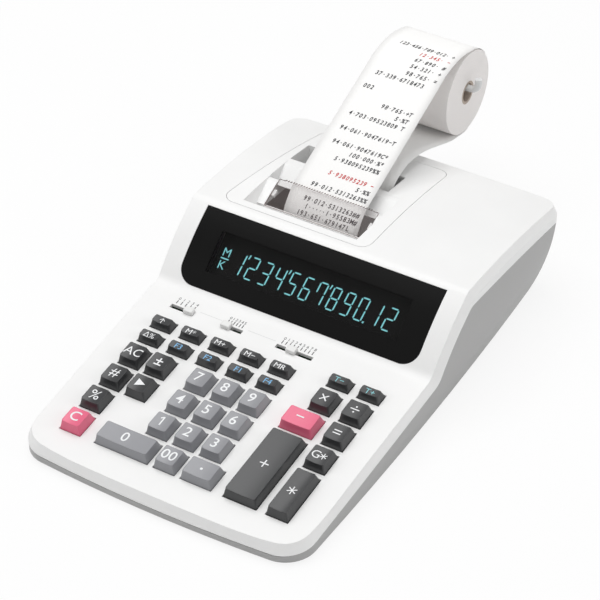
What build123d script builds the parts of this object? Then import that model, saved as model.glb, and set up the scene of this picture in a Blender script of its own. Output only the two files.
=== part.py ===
from build123d import *
import math
import os

os.makedirs("parts", exist_ok=True)

# Body outline in plan at the parting edge
FRONT_BOW = 4.6
FRONT_R = 21.0
REAR_Y = 297.5
REAR_BOW = 1.5
REAR_R = 14.0
FRONT_MARGIN = 22.25
SIDE_MARGIN = 18.55
LEFT_MARGIN = 20.6
SIDE_BOW = 3.3
REAR_SPREAD = 2.7
WIDEST_Y = 200.0

# Rounded-in tub: how far it lies inside the edge at the underside and half way up
BASE_Z = 2.0
BASE_IN_FRONT = 0.1
BASE_IN_SIDE = 4.6
BASE_IN_REAR = 12.3
BASE_IN_END = 8.5
BASE_WIDEST_Y = 130.0
WAIST_Z = 26.0
WAIST_IN_FRONT = 0.3
WAIST_IN_SIDE = 2.4
WAIST_IN_REAR = 4.2
WAIST_IN_END = 3.0
TUB_TOP_Z = 74.0
TUB_TOP_IN = 0.5

# Side profile of the top
PANEL_TILT = 7.67
PANEL_Z = 19.3
KINK_Y = 119.5
KINK_R = 12.0
CREST_Y = 165.2
CREST_Z = 75.7
CREST_R = 10.0
WINDOW_BULGE = 2.6
REAR_TOP_Z = 65.8
TOP_BULGE = 3.8

# Walls, edge band and parting joint
WALL = 2.5
BAND_IN = 2.9
BAND_DROP = 6.4
SIDE_WALL_UPPER = 4.6
PART_DROP = 7.0
RIM_KINK_BACK = 6.2
RIM_CREST_BACK = 0.8
RIM_CREST_DROP = 11.1
RIM_REAR_DROP = 11.3
RIM_BOW = 1.7
PART_GAP = 0.4
FLOOR_T = 2.5
TONGUE_T = 1.4
TONGUE_H = 2.8

# Keys
COL_GAP = 4.31
ROW_GAP = 4.25
KEY_W = 15.45
KEY_D = 17.1
KEY_H = 6.8
SMALL_W = 15.7
SMALL_D = 9.6
SMALL_H = 5.8
SMALL_PITCH_X = 22.44
SMALL_GAP = 5.1
SMALL_TO_SWITCH = 22.8
NUM_U = -31.9
RIGHT_U = 68.9
RIGHT_PITCH_X = 22.1
WIDE_U = 38.5
ZERO_U = -55.9
TAX_GAP = 5.25
TAX_TO_SWITCH = 16.0
KEY_TRAVEL = 3.0
KEY_GAP = 0.4
KEY_TOP_IN = 1.4
KEY_REAR_IN = 2.4
KEY_WALL = 1.4
KEY_DISH = 0.45
KEY_R = 1.0
KEY_TOP_R = 1.2
POINT_W = 22.25
FLANGE_OUT = 1.2
FLANGE_T = 0.9
STOP_GAP = 0.1
PUSH_R = 1.1

# Key mat and main board
PAD_T = 0.6
PAD_R = 3.0
MAT_IN = 2.0
MAT_END = 2.4
MAT_T = 1.0
BOARD_T = 1.6
BOARD_SIDE = 14.9
BOARD_END = 6.6
BOARD_FRONT_IN = 16.6

# Slide switches
SWITCH_IN = 18.18
SLOT_W = 3.4
SWITCHES = [
    ("switch_print", -81.0, -62.9, -66.4),
    ("switch_round", -41.2, -25.8, -37.6),
    ("switch_decimal", 0.0, 27.1, 11.9),
]
KNOB_L = 7.0
KNOB_W = 5.2
KNOB_H = 3.2
STEM_L = 5.0
KNOB_ROUND = 0.9
KNOB_FOOT_T = 1.2
SLIDE_GAP = 0.3

# Display window and tube
WINDOW_SIDE = 16.5
WINDOW_LOW_S = 3.0
WINDOW_R = 12.0
WINDOW_T = 2.0
WINDOW_TOP_GAP = 0.5
FIT_GAP = 0.3
GLUE_GAP = 0.1
TUBE_SIDE = 15.7
TUBE_H = 34.0
TUBE_T = 7.0
TUBE_BACK = 6.5
TIP_R = 1.6
TIP_L = 4.0
CRADLE_T = 4.0
CRADLE_Y = (131.0, 166.0)

# Printer cover with its paper well
COVER_FRONT_Y = 170.5
COVER_REAR_Y = 286.0
COVER_FRONT_X = (-85.5, 26.0)
COVER_REAR_X = (-73.5, 25.0)
COVER_R = 8.0
COVER_T = 2.2
COVER_GAP = 0.3
LEDGE_W = 1.6
LEDGE_T = 2.0
LEDGE_RIM = 2.0
WELL_FRONT_Y = 176.5
WELL_REAR_Y = 261.0
WELL_X = -28.0
WELL_HALF = 44.0
WELL_DEPTH = 16.5
WELL_SIDE_IN = 4.0
WELL_END_IN = 2.0
WELL_WALL = 1.8
BAR_Y = 229.0
BAR_W = 8.0
BAR_H = 8.5
BAR_SINK = 0.4
BAR_FOOT = 14.5
BAR_ROUND = 1.2
INLET_SIDE = 1.5

# Paper cutter plate
CUT_HALF = 38.2
CUT_LOW = (189.2, 67.1)
CUT_TOP = (210.2, 76.9)
CUT_T = 1.2
CUT_TOOTH = 2.0
CUT_TOOTH_H = 1.0
CUT_END = 4.0
RAIL_S = 11.5
RAIL_L = 5.0
RAIL_W = 2.5
SHOULDER_T = 1.8
TROUGH_Z = 64.2
TROUGH_RISE = 65.8
TROUGH_LIP = (0.3, 2.3)

# Paper
PAPER_X = -25.4
PAPER_W = 57.0
PAPER_T = 0.3
ROLL_Y = 350.0
ROLL_Z = 90.6
ROLL_R = 31.0
CORE_R = 8.6
CORE_BORE_R = 6.6
WEB_OFF = 0.55
TAIL_TURN = 40.0
TAIL_LIFT = 78.0
TAIL_BOW = [(345.0, 124.4), (334.0, 125.2), (317.0, 122.4)]
TAIL_LOW = (212.0, 75.8)
PRINT_RUN = [(206.5, 71.6), (201.5, 66.0), (197.9, 60.0), (196.9, 52.0)]
PLATEN_TURN = 292.0
INLET_RUN = [
    (221.0, 42.0), (232.0, 50.0), (238.8, 60.0), (243.3, 67.5), (249.5, 73.7), (258.0, 77.6),
    (268.0, 79.0), (280.5, 78.0), (295.0, 74.3), (311.0, 68.6), (329.0, 62.4),
]
FEED_TURN = (261.0, 275.0)

# Roll holder rod
ROD_R = 2.5
ROD_X = -62.0
ROD_IN_Y = 282.0
ROD_BEND_Y = 320.0
ROD_LOW_Z = 46.0
ROD_END_X = 11.0
ROD_TIP = 9.5
ROD_BEND_R = 6.0
ROD_GAP = 0.3
SOCKET_HALF = 6.0
SOCKET_IN = 3.0

# Printing mechanism
PLATEN_Y = 205.6
PLATEN_Z = 44.0
PLATEN_R = 8.0
DRUM_Y = 186.0
DRUM_R = 10.0
INK_Y = 172.0
INK_Z = 35.0
INK_GAP = 0.3
SHAFT_R = 2.5
RUN_GAP = 0.05
DRUM_L = 52.0
DRUM_RINGS = 13
FRAME_HALF = 34.0
FRAME_T = 2.5
FRAME_FRONT_Y = 163.5
FRAME_REAR_Y = 234.0
FRAME_Z = 22.0
FRAME_TOP_Z = 52.0
FRAME_CUT = (14.0, 12.0)
SHAFT_END = 2.0
HUB = 1.5
DRUM_RELIEF = 0.8
RING_SHARE = 0.7
MOTOR_R = 11.0
MOTOR_L = 28.0
MOTOR_ROUND = 1.5

# Power, cord gland, feet, screws
TRAFO_SIDE = 41.6
TRAFO_Y = 236.0
TRAFO_W = 44.0
TRAFO_D = 36.0
TRAFO_H = 38.0
TRAFO_LEG = 7.0
TRAFO_YOKE = 6.0
TRAFO_ROUND = 4.0
TAB_L = 6.0
TAB_T = 1.5
GLAND_SIDE = 43.6
GLAND_SINK = 4.7
GLAND_Z = 22.0
GLAND_R = 6.0
GLAND_BORE_R = 3.2
GLAND_NECK_R = 4.6
GLAND_FLANGE = 2.0
GLAND_ROUND = 0.8
GLAND_RIM = 3.0
GLAND_END = 1.0
FOOT_R = 7.0
FOOT_SINK = 0.8
FOOT_ROUND = 0.6
FOOT_FRONT = (18.9, 29.6)
FOOT_REAR = (27.6, 35.5)
BOSS_R = 4.0
SCREW_R = 1.4
SCREW_HOLE_R = 1.45
HEAD_R = 2.8
HEAD_H = 2.0
HEAD_BORE_R = 3.1
SCREW_GRIP = 4.0
SCREW_BITE = 6.0
CROSS_L = 3.2
CROSS_W = 0.7
CROSS_D = 1.0
SCREW_FRONT = (8.9, 21.1, 8.5)
SCREW_MID = (11.2, 104.0, 18.0)
SCREW_REAR = (22.6, 20.5, 34.0)
POST_R = 3.0
POST_IN = 6.0
POST_SIDE = 18.0

# Key field from the switch row forwards, and the outline round it
FAR = 400.0
TILT = math.radians(PANEL_TILT)
switch_v = KINK_Y / math.cos(TILT) - SWITCH_IN
tax_row = switch_v - TAX_TO_SWITCH
small_rows = [switch_v - SMALL_TO_SWITCH - SMALL_D - SMALL_GAP, switch_v - SMALL_TO_SWITCH]
pitch_x = KEY_W + COL_GAP
pitch_y = KEY_D + ROW_GAP
row = [tax_row - TAX_GAP - KEY_D - i * pitch_y for i in (4, 3, 2, 1, 0)]
half_front = RIGHT_U + KEY_W + SIDE_MARGIN
half_mid = half_front + SIDE_BOW
half_rear = half_front + REAR_SPREAD
front_y = row[0] - FRONT_MARGIN
left_u = LEFT_MARGIN - half_front

# Frame: origin under the middle of the whole part, on the desk
MID_Y = (front_y + ROLL_Y + ROLL_R) / 2
panel = Plane(origin=(0, 0, PANEL_Z), x_dir=(1, 0, 0), z_dir=(0, -math.sin(TILT), math.cos(TILT)))


def panel_z(y):
    return PANEL_Z + y * math.tan(TILT)


# Bowed line: circle through two points of the side profile
def bow_circle(a, b, bow):
    run = (b[0] - a[0], b[1] - a[1])
    length = math.hypot(*run)
    r = length ** 2 / (8 * bow) + bow / 2
    lift = (bow - r) / length
    return (a[0] + run[0] / 2 - run[1] * lift, a[1] + run[1] / 2 + run[0] * lift), r


def on_circle(circle, y):
    mid, r = circle
    return mid[1] + math.sqrt(r ** 2 - (y - mid[0]) ** 2)


top_circle = bow_circle((CREST_Y, CREST_Z), (REAR_Y, REAR_TOP_Z), TOP_BULGE)


def top_z(y):
    return on_circle(top_circle, y)


def save(name, shape):
    export_step(shape.moved(Location((0, -MID_Y, 0))), "parts/" + name + ".step")


def box(x0, x1, y0, y1, z0, z1):
    return Pos((x0 + x1) / 2, (y0 + y1) / 2, (z0 + z1) / 2) * Box(x1 - x0, y1 - y0, z1 - z0)


def rod_x(x0, x1, y, z, r):
    return Pos((x0 + x1) / 2, y, z) * Rot(0, 90, 0) * Cylinder(r, x1 - x0)


def rod_y(x, y0, y1, z, r):
    return Pos(x, (y0 + y1) / 2, z) * Rot(90, 0, 0) * Cylinder(r, y1 - y0)


def post(x, y, z0, z1, r):
    return Pos(x, y, (z0 + z1) / 2) * Cylinder(r, z1 - z0)


def in_panel(u0, u1, v0, v1, w0, w1):
    mid = ((u0 + u1) / 2, (v0 + v1) / 2, (w0 + w1) / 2)
    return panel * Pos(*mid) * Box(u1 - u0, v1 - v0, w1 - w0)


# Plan outlines: bowed front, slightly bowed sides, rounded corners
def plan_face(in_front, in_side, in_rear, in_end, mid_y, inset):
    low_y = front_y + inset
    side_y = low_y + FRONT_BOW
    back_y = REAR_Y - in_end - inset
    half_f = half_front - in_front - inset
    half_m = half_mid - in_side - inset
    half_r = half_rear - in_rear - inset
    front = ThreePointArc((-half_f, side_y), (0, low_y), (half_f, side_y))
    right = ThreePointArc((half_f, side_y), (half_m, mid_y), (half_r, back_y))
    rear = ThreePointArc((half_r, back_y), (0, back_y + REAR_BOW), (-half_r, back_y))
    left = ThreePointArc((-half_r, back_y), (-half_m, mid_y), (-half_f, side_y))
    face = make_face([front, right, rear, left])
    corners = face.vertices().sort_by(Axis.Y)
    face = fillet(corners[:2], FRONT_R - inset)
    corners = face.vertices().sort_by(Axis.Y)
    return fillet(corners[-2:], REAR_R - inset).face()


def edge_face(inset):
    return plan_face(0, 0, 0, 0, WIDEST_Y, inset)


def base_face(inset):
    return plan_face(BASE_IN_FRONT, BASE_IN_SIDE, BASE_IN_REAR, BASE_IN_END, BASE_WIDEST_Y, inset)


def waist_face(inset):
    mid_y = (BASE_WIDEST_Y + WIDEST_Y) / 2
    return plan_face(WAIST_IN_FRONT, WAIST_IN_SIDE, WAIST_IN_REAR, WAIST_IN_END, mid_y, inset)


def edge_prism(inset):
    return extrude(edge_face(inset), FAR / 2)


edge_plan = edge_face(0)


# Side profile: inclined key panel, bulged display slope, bowed top
def profile_face(kink, crest, rear_z, bow):
    start = (-FAR / 2, kink[1] - (kink[0] + FAR / 2) * math.tan(TILT))
    end = (FAR, on_circle(bow_circle(crest, (REAR_Y, rear_z), bow), FAR))
    run = math.dist(kink, crest)
    side = ((crest[1] - kink[1]) / run, (crest[0] - kink[0]) / run)
    mid = ((kink[0] + crest[0]) / 2, (kink[1] + crest[1]) / 2)
    bulge = (mid[0] - side[0] * WINDOW_BULGE, mid[1] + side[1] * WINDOW_BULGE)
    lines = [
        Line(start, kink),
        ThreePointArc(kink, bulge, crest),
        ThreePointArc(crest, (REAR_Y, rear_z), end),
        Line(end, (FAR, -FAR)),
        Line((FAR, -FAR), (-FAR / 2, -FAR)),
        Line((-FAR / 2, -FAR), start),
    ]
    face = make_face(lines)
    near_kink = face.vertices().sort_by_distance((kink[0], kink[1], 0))[0]
    face = fillet(near_kink, KINK_R)
    near_crest = face.vertices().sort_by_distance((crest[0], crest[1], 0))[0]
    return fillet(near_crest, CREST_R).face()


profile = profile_face((KINK_Y, panel_z(KINK_Y)), (CREST_Y, CREST_Z), REAR_TOP_Z, TOP_BULGE)
rim_kink_y = KINK_Y + RIM_KINK_BACK
rim_kink = (rim_kink_y, panel_z(rim_kink_y) - PART_DROP / math.cos(TILT))
rim_crest = (CREST_Y + RIM_CREST_BACK, CREST_Z - RIM_CREST_DROP)
rim_profile = profile_face(rim_kink, rim_crest, REAR_TOP_Z - RIM_REAR_DROP, RIM_BOW)


def across(face, half):
    return extrude(Plane.YZ * face, half, both=True)


# Layers under the top: one shift that lies equally deep under the panel and the display slope
slope_turn = math.atan2(CREST_Z - panel_z(KINK_Y), CREST_Y - KINK_Y)
half_turn = (slope_turn + TILT) / 2
layer_shift = 1 / math.cos((slope_turn - TILT) / 2)


def layer(face, drop):
    run = drop * layer_shift
    return across(face, FAR / 2).moved(Location((0, run * math.sin(half_turn), -run * math.cos(half_turn))))


def below(drop):
    return layer(profile, drop)


def under_rim(drop):
    return layer(rim_profile, drop)


# Upper housing: lid with a steep edge band all round
lid_block = (below(0) - under_rim(0)) & edge_prism(0)


def on_rim(edge):
    p = edge @ 0.5
    q = edge @ 0.25
    wall = all(edge_plan.outer_wire().distance_to(Vertex(a.X, a.Y, 0)) < 0.02 for a in (p, q))
    rim = all(profile.outer_wire().distance_to(Vertex(a.Y, a.Z, 0)) < 0.02 for a in (p, q))
    return wall and rim


# Top faces come first so that the short leg of the edge band lies on top
def on_top(face):
    c = face.center()
    return profile.outer_wire().distance_to(Vertex(c.Y, c.Z, 0)) < 0.02


lid_faces = lid_block.faces()
lid_solid = Solid(Shell(lid_faces.filter_by(on_top) + lid_faces.filter_by(lambda f: not on_top(f))))
lid = lid_solid.chamfer(BAND_IN, BAND_DROP, lid_solid.edges().filter_by(on_rim))
lid_room = below(WALL) & edge_prism(SIDE_WALL_UPPER)
lid = lid - lid_room

# Display slope frame: chord plane from the kink to the crest
kink_pt = (KINK_Y, panel_z(KINK_Y))
chord = math.dist(kink_pt, (CREST_Y, CREST_Z))
chord_dir = ((CREST_Y - KINK_Y) / chord, (CREST_Z - kink_pt[1]) / chord)
slope = Plane(origin=(0, *kink_pt), x_dir=(1, 0, 0), z_dir=(0, -chord_dir[1], chord_dir[0]))
crest_fall = math.atan2(CREST_Y - top_circle[0][0], CREST_Z - top_circle[0][1])
crest_turn = math.atan2(chord_dir[1], chord_dir[0]) + crest_fall
window_top = chord - CREST_R * math.tan(crest_turn / 2) - WINDOW_TOP_GAP
window_half = half_mid - WINDOW_SIDE
tube_half = window_half - TUBE_SIDE


def window_block(grow):
    mid = (WINDOW_LOW_S + window_top) / 2
    face = Pos(0, mid) * Rectangle(2 * (window_half + grow), window_top - WINDOW_LOW_S + 2 * grow)
    face = fillet(face.vertices().sort_by(Axis.Y)[:2], WINDOW_R + grow)
    return extrude(slope * face, FAR / 10, both=True)


window = window_block(0) & (below(0) - below(WINDOW_T))
lid = lid - window_block(FIT_GAP)

# Display tube, and the ledge behind the window edge
tube_mid = (WINDOW_LOW_S + window_top) / 2
tube_top_w = WINDOW_BULGE - WINDOW_T - TUBE_BACK
tube_body = Pos(0, tube_mid, tube_top_w - TUBE_T / 2) * Box(2 * tube_half, TUBE_H, TUBE_T)
tube_body = fillet(tube_body.edges().filter_by(Axis.Y), TUBE_T / 4)
tube_tip = Pos(tube_half + TIP_L / 2, tube_mid, tube_top_w - TUBE_T / 2) * Rot(0, 90, 0)
tube_tip = tube_tip * Cylinder(TIP_R, TIP_L)
display_tube = slope * (tube_body + tube_tip)
ledge = window_block(LEDGE_W) - window_block(-LEDGE_W)
lid = lid + (ledge & (below(WINDOW_T + GLUE_GAP) - below(WINDOW_T + GLUE_GAP + LEDGE_T)))


# Cover outline on the bowed top
def cover_face(grow):
    pts = [
        (COVER_FRONT_X[0], COVER_FRONT_Y),
        (COVER_FRONT_X[1], COVER_FRONT_Y),
        (COVER_REAR_X[1], COVER_REAR_Y),
        (COVER_REAR_X[0], COVER_REAR_Y),
    ]
    face = make_face(Polyline(*pts, close=True))
    face = fillet(face.vertices(), COVER_R).face()
    return offset(face, grow).face() if grow else face


def top_layer(face, high, low):
    return extrude(face, FAR / 2) & (below(high) - below(low))


lid = lid + top_layer(cover_face(COVER_GAP + LEDGE_RIM), WALL / 2, COVER_T + LEDGE_T)
lid = lid - (extrude(cover_face(COVER_GAP), FAR / 2) - below(COVER_T))
lid = lid - extrude(cover_face(-LEDGE_W), FAR / 2)


# Printer cover: plate, funnel walls and the bar in front of the paper inlet
well_mid = (WELL_FRONT_Y + WELL_REAR_Y) / 2
well_run = WELL_REAR_Y - WELL_FRONT_Y
fall = math.atan2(CREST_Z - REAR_TOP_Z, REAR_Y - CREST_Y)
well_top = CREST_Z + TOP_BULGE + CREST_Y * math.tan(fall)
top_plane = Plane(origin=(0, 0, well_top), x_dir=(1, 0, 0), z_dir=(0, math.sin(fall), math.cos(fall)))


def well_face(depth, grow):
    share = depth / WELL_DEPTH
    width = 2 * (WELL_HALF - WELL_SIDE_IN * share + grow)
    return Pos(WELL_X, well_mid, -depth) * Rectangle(width, well_run - 2 * WELL_END_IN * share + 2 * grow)


def funnel(grow):
    return top_plane * loft([well_face(WELL_DEPTH, grow), well_face(-COVER_T, grow)], ruled=True)


cover = top_layer(cover_face(0), 0, COVER_T) + (funnel(WELL_WALL) & below(0)) - funnel(0)
bar_top = top_z(BAR_Y)
bar_half = WELL_HALF + WELL_WALL
bar_pts = [
    (BAR_Y - BAR_FOOT, bar_top - BAR_H),
    (BAR_Y + BAR_W, bar_top - BAR_H),
    (BAR_Y + BAR_W, bar_top - BAR_SINK),
    (BAR_Y, bar_top - BAR_SINK),
]
bar_face = make_face(Polyline(*bar_pts, close=True))
bar_face = fillet(bar_face.vertices().group_by(Axis.Y)[-1], BAR_ROUND).face()
bar = Pos(WELL_X, 0, 0) * extrude(Plane.YZ * bar_face, bar_half, both=True)
cover = cover + (bar & funnel(WELL_WALL / 2))
inlet_x = (PAPER_X + PAPER_W / 2 + INLET_SIDE, WELL_X + WELL_HALF + WELL_WALL / 2)
beside = box(*inlet_x, BAR_Y + BAR_W / 2, WELL_REAR_Y + WELL_WALL / 2, 0, FAR / 4)
cover = cover + (beside & (below(0) - below(COVER_T)))

# Paper cutter: inclined clear plate with a saw-tooth tear edge
cut_run = math.dist(CUT_LOW, CUT_TOP)
cut_dir = ((CUT_TOP[0] - CUT_LOW[0]) / cut_run, (CUT_TOP[1] - CUT_LOW[1]) / cut_run)
cut_plane = Plane(origin=(PAPER_X, *CUT_LOW), x_dir=(1, 0, 0), z_dir=(0, -cut_dir[1], cut_dir[0]))
teeth = int(2 * (CUT_HALF - CUT_END) / CUT_TOOTH)
cut_pts = [(-CUT_HALF, 0), (CUT_HALF, 0), (CUT_HALF, cut_run - CUT_TOOTH_H)]
for i in range(teeth, -1, -1):
    u = (i - teeth / 2) * CUT_TOOTH
    cut_pts.append((u, cut_run - CUT_TOOTH_H))
    if i:
        cut_pts.append((u - CUT_TOOTH / 2, cut_run))
cut_pts.append((-CUT_HALF, cut_run - CUT_TOOTH_H))
cut_face = make_face(Polyline(*cut_pts, close=True))
cutter = extrude(cut_plane * cut_face, -CUT_T)

# Shoulders beside the plate, rails under its ends and the trough in front of it
slab = Pos(0, cut_run / 2, -SHOULDER_T / 2) * Box(FAR / 2, cut_run, SHOULDER_T)
pocket = Box(2 * (CUT_HALF + FIT_GAP), FAR, FAR)
cover = cover + (cut_plane * (slab - pocket) & funnel(WELL_WALL / 2) & below(COVER_T / 2))
for side in (-1, 1):
    rail = Box(2 * RAIL_W, RAIL_L, RAIL_W)
    cover = cover + cut_plane * Pos(side * (CUT_HALF + FIT_GAP), RAIL_S, -CUT_T - RAIL_W / 2) * rail
trough_x = (WELL_X - bar_half, WELL_X + bar_half)
lip_y = (CUT_LOW[0] + TROUGH_LIP[0], CUT_LOW[0] + TROUGH_LIP[1])
trough = box(*trough_x, WELL_FRONT_Y, lip_y[1], TROUGH_Z - COVER_T, TROUGH_Z)
trough = trough + box(*trough_x, *lip_y, TROUGH_Z - COVER_T, TROUGH_RISE)
cover = cover + (trough & funnel(WELL_WALL / 2))
save("printer_cover", cover)
save("paper_cutter", cutter)
save("display_window", window)
save("display_tube", display_tube)


# Slide switches: slot, knob, stem and under-flange
def knob():
    cap = Box(KNOB_L, KNOB_W, KNOB_H - SLIDE_GAP)
    cap = fillet(cap.edges().filter_by(Axis.Z) + cap.edges().group_by(Axis.Z)[-1], KNOB_ROUND)
    foot_top = -WALL - SLIDE_GAP
    stem_w = SLOT_W - 2 * SLIDE_GAP
    stem = Pos(0, 0, (foot_top + SLIDE_GAP) / 2) * Box(STEM_L, stem_w, SLIDE_GAP - foot_top)
    foot = Pos(0, 0, foot_top - KNOB_FOOT_T / 2) * Box(KNOB_L, KNOB_W, KNOB_FOOT_T)
    return Pos(0, 0, (KNOB_H + SLIDE_GAP) / 2) * cap + stem + foot


for name, start, stop, at in SWITCHES:
    lid = lid - in_panel(start, stop, switch_v - SLOT_W / 2, switch_v + SLOT_W / 2, -2 * WALL, WALL)
    save(name, panel * Pos(at, switch_v, 0) * knob())

# Key list: name, left edge, front edge, width, depth, height
col = [NUM_U + i * pitch_x for i in range(3)]
left = [left_u, left_u + pitch_x]
right = [RIGHT_U - RIGHT_PITCH_X, RIGHT_U]
wide = right[0] + KEY_W - WIDE_U
KEYS = [
    ("key_c", left[0], row[0], KEY_W, KEY_D, KEY_H),
    ("key_0", ZERO_U, row[0], col[0] + KEY_W - ZERO_U, KEY_D, KEY_H),
    ("key_00", col[1], row[0], KEY_W, KEY_D, KEY_H),
    ("key_point", col[2], row[0], POINT_W, KEY_D, KEY_H),
    ("key_plus", WIDE_U, row[0], wide, KEY_D + 2 * pitch_y, KEY_H),
    ("key_total", right[1], row[0], KEY_W, KEY_D + pitch_y, KEY_H),
    ("key_percent", left[0], row[1], KEY_W, KEY_D, KEY_H),
    ("key_subtotal", left[0], row[2], KEY_W, KEY_D, KEY_H),
    ("key_shift", left[1], row[2], KEY_W, KEY_D, KEY_H),
    ("key_grand", right[1], row[2], KEY_W, KEY_D, KEY_H),
    ("key_clear_all", left[0], row[3], KEY_W, KEY_D, KEY_H),
    ("key_markup", left[1], row[3], KEY_W, KEY_D, KEY_H),
    ("key_minus", WIDE_U, row[3], wide, KEY_D, KEY_H),
    ("key_equals", right[1], row[3], KEY_W, KEY_D, KEY_H),
    ("key_times", right[0], row[4], KEY_W, KEY_D, KEY_H),
    ("key_divide", right[1], row[4], KEY_W, KEY_D, KEY_H),
    ("key_tax_minus", right[0], tax_row, SMALL_W, SMALL_D, SMALL_H),
    ("key_tax_plus", right[1], tax_row, SMALL_W, SMALL_D, SMALL_H),
]
for n in range(1, 10):
    KEYS.append(("key_%d" % n, col[(n - 1) % 3], row[1 + (n - 1) // 3], KEY_W, KEY_D, KEY_H))
for i in range(5):
    u = left_u + i * SMALL_PITCH_X
    KEYS.append(("key_low_%d" % (i + 1), u, small_rows[0], SMALL_W, SMALL_D, SMALL_H))
    KEYS.append(("key_high_%d" % (i + 1), u, small_rows[1], SMALL_W, SMALL_D, SMALL_H))


# Key cap: tapered, dished, hollow, with a stop flange under the panel and a push post
def key_cap(w, d, h):
    skirt_low = -WALL - STOP_GAP - FLANGE_T
    foot = RectangleRounded(w, d, KEY_R)
    top_w = w - 2 * KEY_TOP_IN
    top_d = d - KEY_TOP_IN - KEY_REAR_IN
    top_mid = (KEY_TOP_IN - KEY_REAR_IN) / 2
    head = Pos(0, top_mid, h) * RectangleRounded(top_w, top_d, KEY_TOP_R)
    cap = loft([foot, head], ruled=True) + extrude(foot, skirt_low)
    dish_r = top_w ** 2 / (8 * KEY_DISH) + KEY_DISH / 2
    cap = cap - Pos(0, 0, h - KEY_DISH + dish_r) * Rot(90, 0, 0) * Cylinder(dish_r, 2 * d)
    flange = Box(w + 2 * FLANGE_OUT, d + 2 * FLANGE_OUT, FLANGE_T)
    room_top = h - KEY_DISH - KEY_WALL
    room = Box(top_w - 2 * KEY_WALL, top_d - 2 * KEY_WALL, room_top - skirt_low)
    cap = cap + Pos(0, 0, skirt_low + FLANGE_T / 2) * flange
    cap = cap - Pos(0, top_mid, (room_top + skirt_low) / 2) * room
    return cap + post(0, top_mid, skirt_low, room_top + KEY_WALL / 2, PUSH_R)


caps = {}
holes = []
pad_top = -WALL - STOP_GAP - FLANGE_T - KEY_TRAVEL - STOP_GAP
mat_top = pad_top - PAD_T
board_top = mat_top - MAT_T
board_half = half_front - BOARD_SIDE
board_front = front_y + BOARD_FRONT_IN
board_rear = switch_v + BOARD_END
mat_half = board_half - MAT_IN
mat_rear = tax_row + SMALL_D + MAT_END
mat = in_panel(-mat_half, mat_half, board_front + MAT_IN, mat_rear, board_top, mat_top)
for name, u, v, w, d, h in KEYS:
    if (w, d, h) not in caps:
        caps[w, d, h] = key_cap(w, d, h)
    place = panel * Pos(u + w / 2, v + d / 2, 0)
    save(name, place * caps[w, d, h])
    holes.append(place * Box(w + 2 * KEY_GAP, d + 2 * KEY_GAP, 4 * WALL))
    mat = mat + place * Pos(0, 0, pad_top - PAD_T / 2) * Cylinder(PAD_R, PAD_T)
lid = lid - holes
save("key_mat", mat)
board = in_panel(-board_half, board_half, board_front, board_rear, board_top - BOARD_T, board_top)
save("main_board", board)


# Lower housing: undercut tub with a rim shelf and a tongue inside the lid
def tub(inset):
    low = Pos(0, 0, BASE_Z) * base_face(inset)
    waist = Pos(0, 0, WAIST_Z) * waist_face(inset)
    return loft([low, waist, Pos(0, 0, TUB_TOP_Z) * edge_face(TUB_TOP_IN + inset)])


floor_z = BASE_Z + FLOOR_T
tub_block = tub(0)
tub_room = tub(WALL) & box(-FAR, FAR, -FAR, FAR, floor_z, FAR)
rim_top = under_rim(PART_GAP)
shelf_low = under_rim(PART_GAP + TONGUE_H)
tongue_room = edge_prism(SIDE_WALL_UPPER + FIT_GAP + TONGUE_T)
tongue = edge_prism(SIDE_WALL_UPPER + FIT_GAP) - tongue_room
lower = (tub_block - tub_room) & rim_top
lower = lower + ((tub_block & (rim_top - shelf_low)) - tongue_room)
lower = lower + (tongue & (under_rim(-TONGUE_H) - shelf_low))


# Case screw: pan head with a cross recess, its shoulder at the seat
def case_screw(x, y, seat):
    low = seat - HEAD_H
    screw = post(x, y, low, seat, HEAD_R) + post(x, y, seat, seat + SCREW_GRIP + SCREW_BITE, SCREW_R)
    for dx, dy in ((CROSS_L / 2, CROSS_W / 2), (CROSS_W / 2, CROSS_L / 2)):
        screw = screw - box(x - dx, x + dx, y - dy, y + dy, low, low + CROSS_D)
    return screw


# Screw bosses: the lid bosses stand on the tub bosses
screws = []
screw_spots = [
    (half_front - SCREW_FRONT[0], front_y + SCREW_FRONT[1], SCREW_FRONT[2]),
    (half_mid - SCREW_MID[0], *SCREW_MID[1:]),
    (half_rear - SCREW_REAR[0], REAR_Y - SCREW_REAR[1], SCREW_REAR[2]),
]
for x, y, z in [(side * x, y, z) for x, y, z in screw_spots for side in (-1, 1)]:
    seat = z - SCREW_GRIP
    lower = lower - post(x, y, z, FAR / 2, BOSS_R + FIT_GAP) + post(x, y, BASE_Z, z, BOSS_R)
    lower = lower - post(x, y, -FAR / 2, seat, HEAD_BORE_R) - post(x, y, 0, z, SCREW_HOLE_R)
    lid = lid + (post(x, y, z, FAR / 2, BOSS_R) & below(WALL / 2))
    lid = lid - post(x, y, z, z + SCREW_BITE + FIT_GAP, SCREW_HOLE_R)
    screws.append(case_screw(x, y, seat))
save("case_screws", Compound(children=screws))
save("upper_housing", lid)

# Posts under the main board
under_board = in_panel(-FAR, FAR, -FAR, FAR, -FAR, board_top - BOARD_T)
for u in (POST_SIDE - board_half, 0, board_half - POST_SIDE):
    for v in (board_front + POST_IN, (board_front + board_rear) / 2, board_rear - POST_IN):
        lower = lower + (post(u, v, BASE_Z, FAR / 4, POST_R) & under_board)

# Two cradles under the display tube
tube_room = Pos(0, tube_mid, tube_top_w) * Box(FAR, TUBE_H + 2 * FIT_GAP, 2 * TUBE_T)
lip_top = Pos(0, 0, tube_top_w - TUBE_T / 2 - FAR / 2) * Box(FAR, FAR, FAR)
for side in (-1, 1):
    x = side * (tube_half - CRADLE_T)
    cradle = box(x - CRADLE_T / 2, x + CRADLE_T / 2, *CRADLE_Y, BASE_Z, FAR / 4)
    lower = lower + ((cradle & slope * lip_top) - slope * tube_room)

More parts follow.
